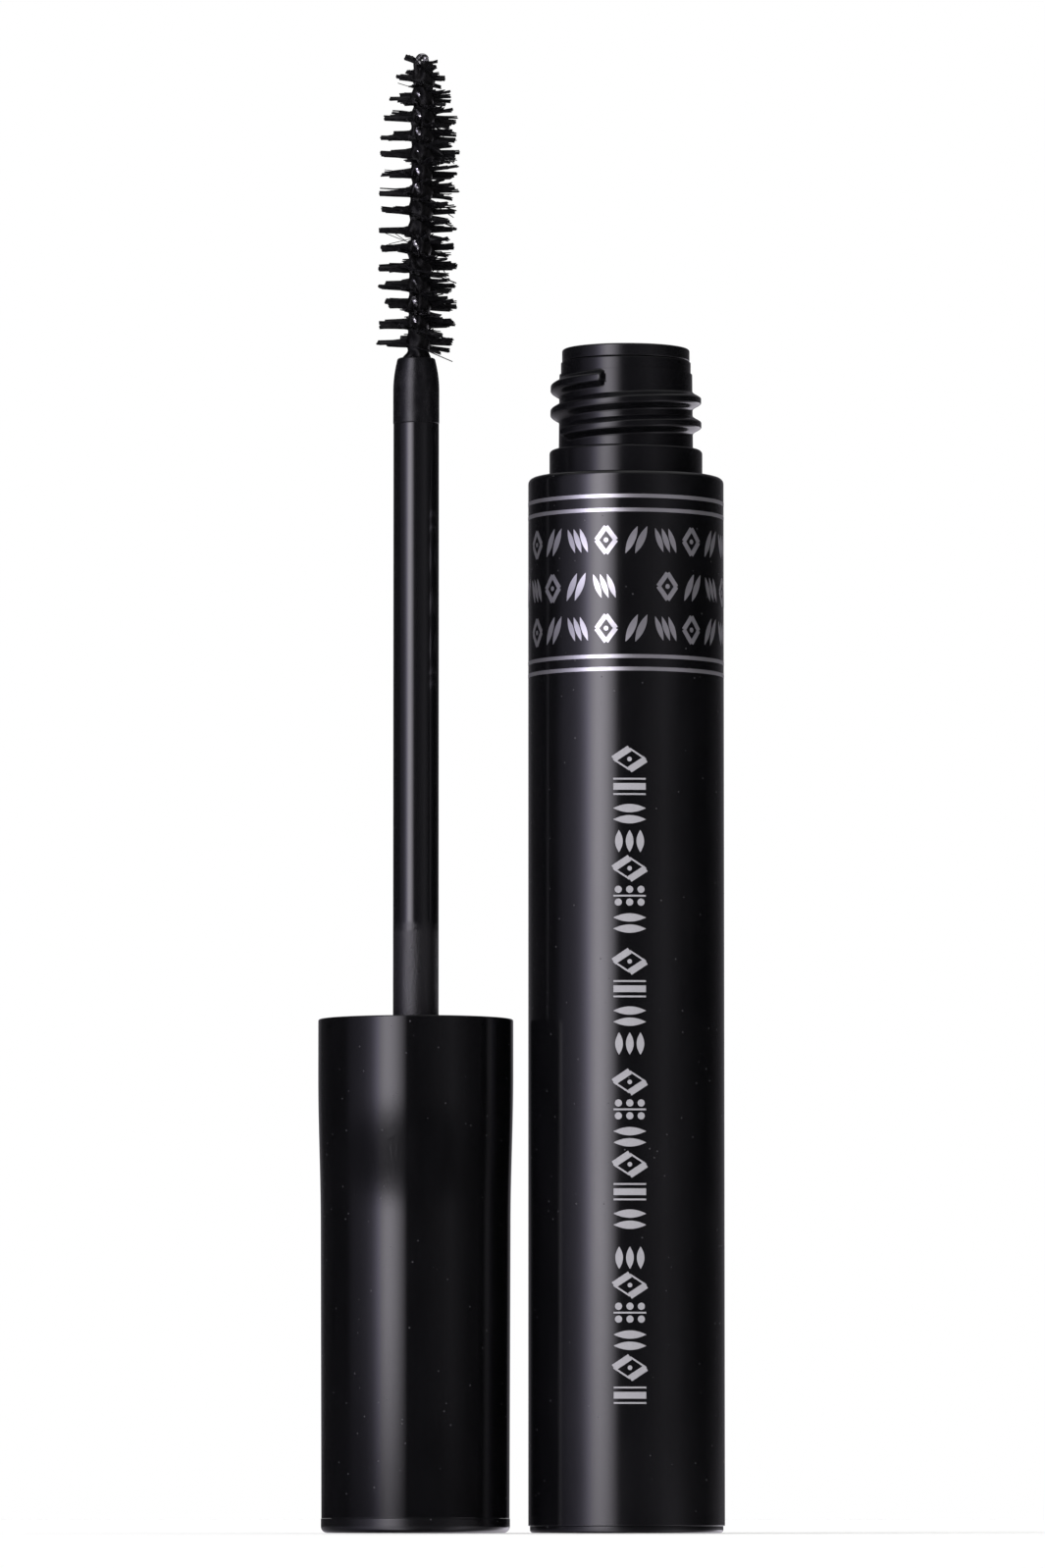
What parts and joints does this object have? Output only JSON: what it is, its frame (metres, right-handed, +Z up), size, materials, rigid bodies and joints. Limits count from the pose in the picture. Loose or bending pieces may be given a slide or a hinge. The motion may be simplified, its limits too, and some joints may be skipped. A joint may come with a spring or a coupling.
{
  "type": "mascara tube",
  "caption": "Open screw-neck mascara bottle with its wiper, and beside it the applicator standing on the end of its cap: threaded cap, stem and twisted-wire brush.",
  "frame": {"origin": "centre of the bottle's base, on the surface that it stands on", "axes": "+Z up along the bottle's axis to its mouth, -X towards the applicator that stands beside it, -Y towards the viewer"},
  "size_m": [0.0352, 0.017, 0.1289],
  "materials": {
    "gloss_black": "gloss",
    "plug_black": "satin",
    "neck_black": "satin",
    "wiper_black": "satin",
    "paste_black": "wet",
    "gasket_white": "matte",
    "inner_black": "satin",
    "stem_black": "gloss",
    "ferrule_black": "satin",
    "wire_steel": "bright drawn",
    "bristle_black": "satin"
  },
  "bodies": {
    "bottle": {"outer_sleeve": "gloss_black", "base_plug": "plug_black", "vial": "neck_black", "wiper": "wiper_black", "mascara_paste": "paste_black"},
    "gasket": {"seal_gasket": "gasket_white"},
    "applicator": {"cap_shell": "gloss_black", "cap_end_plug": "plug_black", "inner_cap": "inner_black", "wand_stem": "stem_black", "brush_ferrule": "ferrule_black", "wire_core": "wire_steel", "bristles": "bristle_black"}
  },
  "joints": [
    {"name": "applicator_lift", "type": "slide", "parent": "bottle", "child": "gasket", "axis": [0, 0, 1], "range_m": [0, 0.0968]},
    {"name": "cap_turn", "type": "hinge", "parent": "gasket", "child": "applicator", "pos_m": [-0.01826, 0, 0.0322], "axis": [0, 0, 1], "continuous": true}
  ]
}
